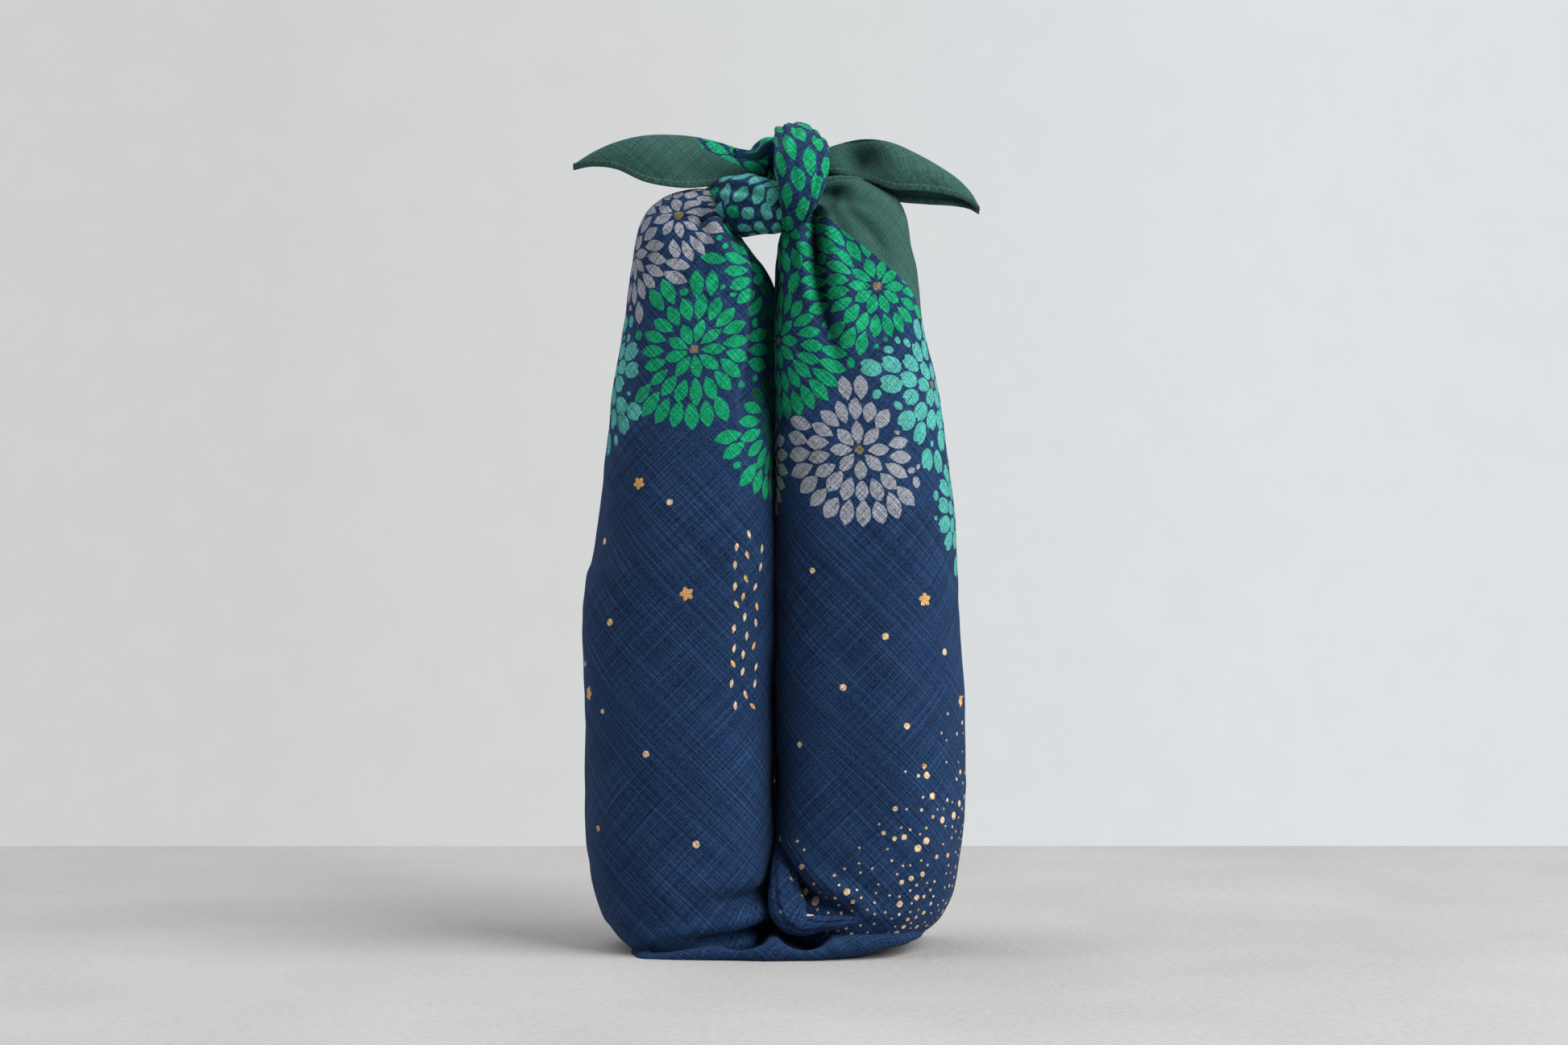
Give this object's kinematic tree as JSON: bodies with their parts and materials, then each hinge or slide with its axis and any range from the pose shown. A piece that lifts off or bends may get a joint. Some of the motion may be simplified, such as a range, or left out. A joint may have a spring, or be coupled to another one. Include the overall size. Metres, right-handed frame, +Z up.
{
  "type": "furoshiki two-bottle wrap",
  "caption": "Square cotton cloth rolled round a pair of bottle shapes, folded under at their bases and tied above them in a flat knot with free corners.",
  "frame": {"origin": "on the surface that the wrap stands on, midway between its two sleeves", "axes": "+Z up, +X to the right of someone who faces the front, +Y towards the back"},
  "size_m": [0.1728, 0.0915, 0.3493],
  "materials": {
    "cloth": "plain-weave slub cotton dyed navy, with a printed pattern and a dark green border, matt"
  },
  "bodies": {
    "root": {"cloth": "cloth"}
  },
  "joints": []
}
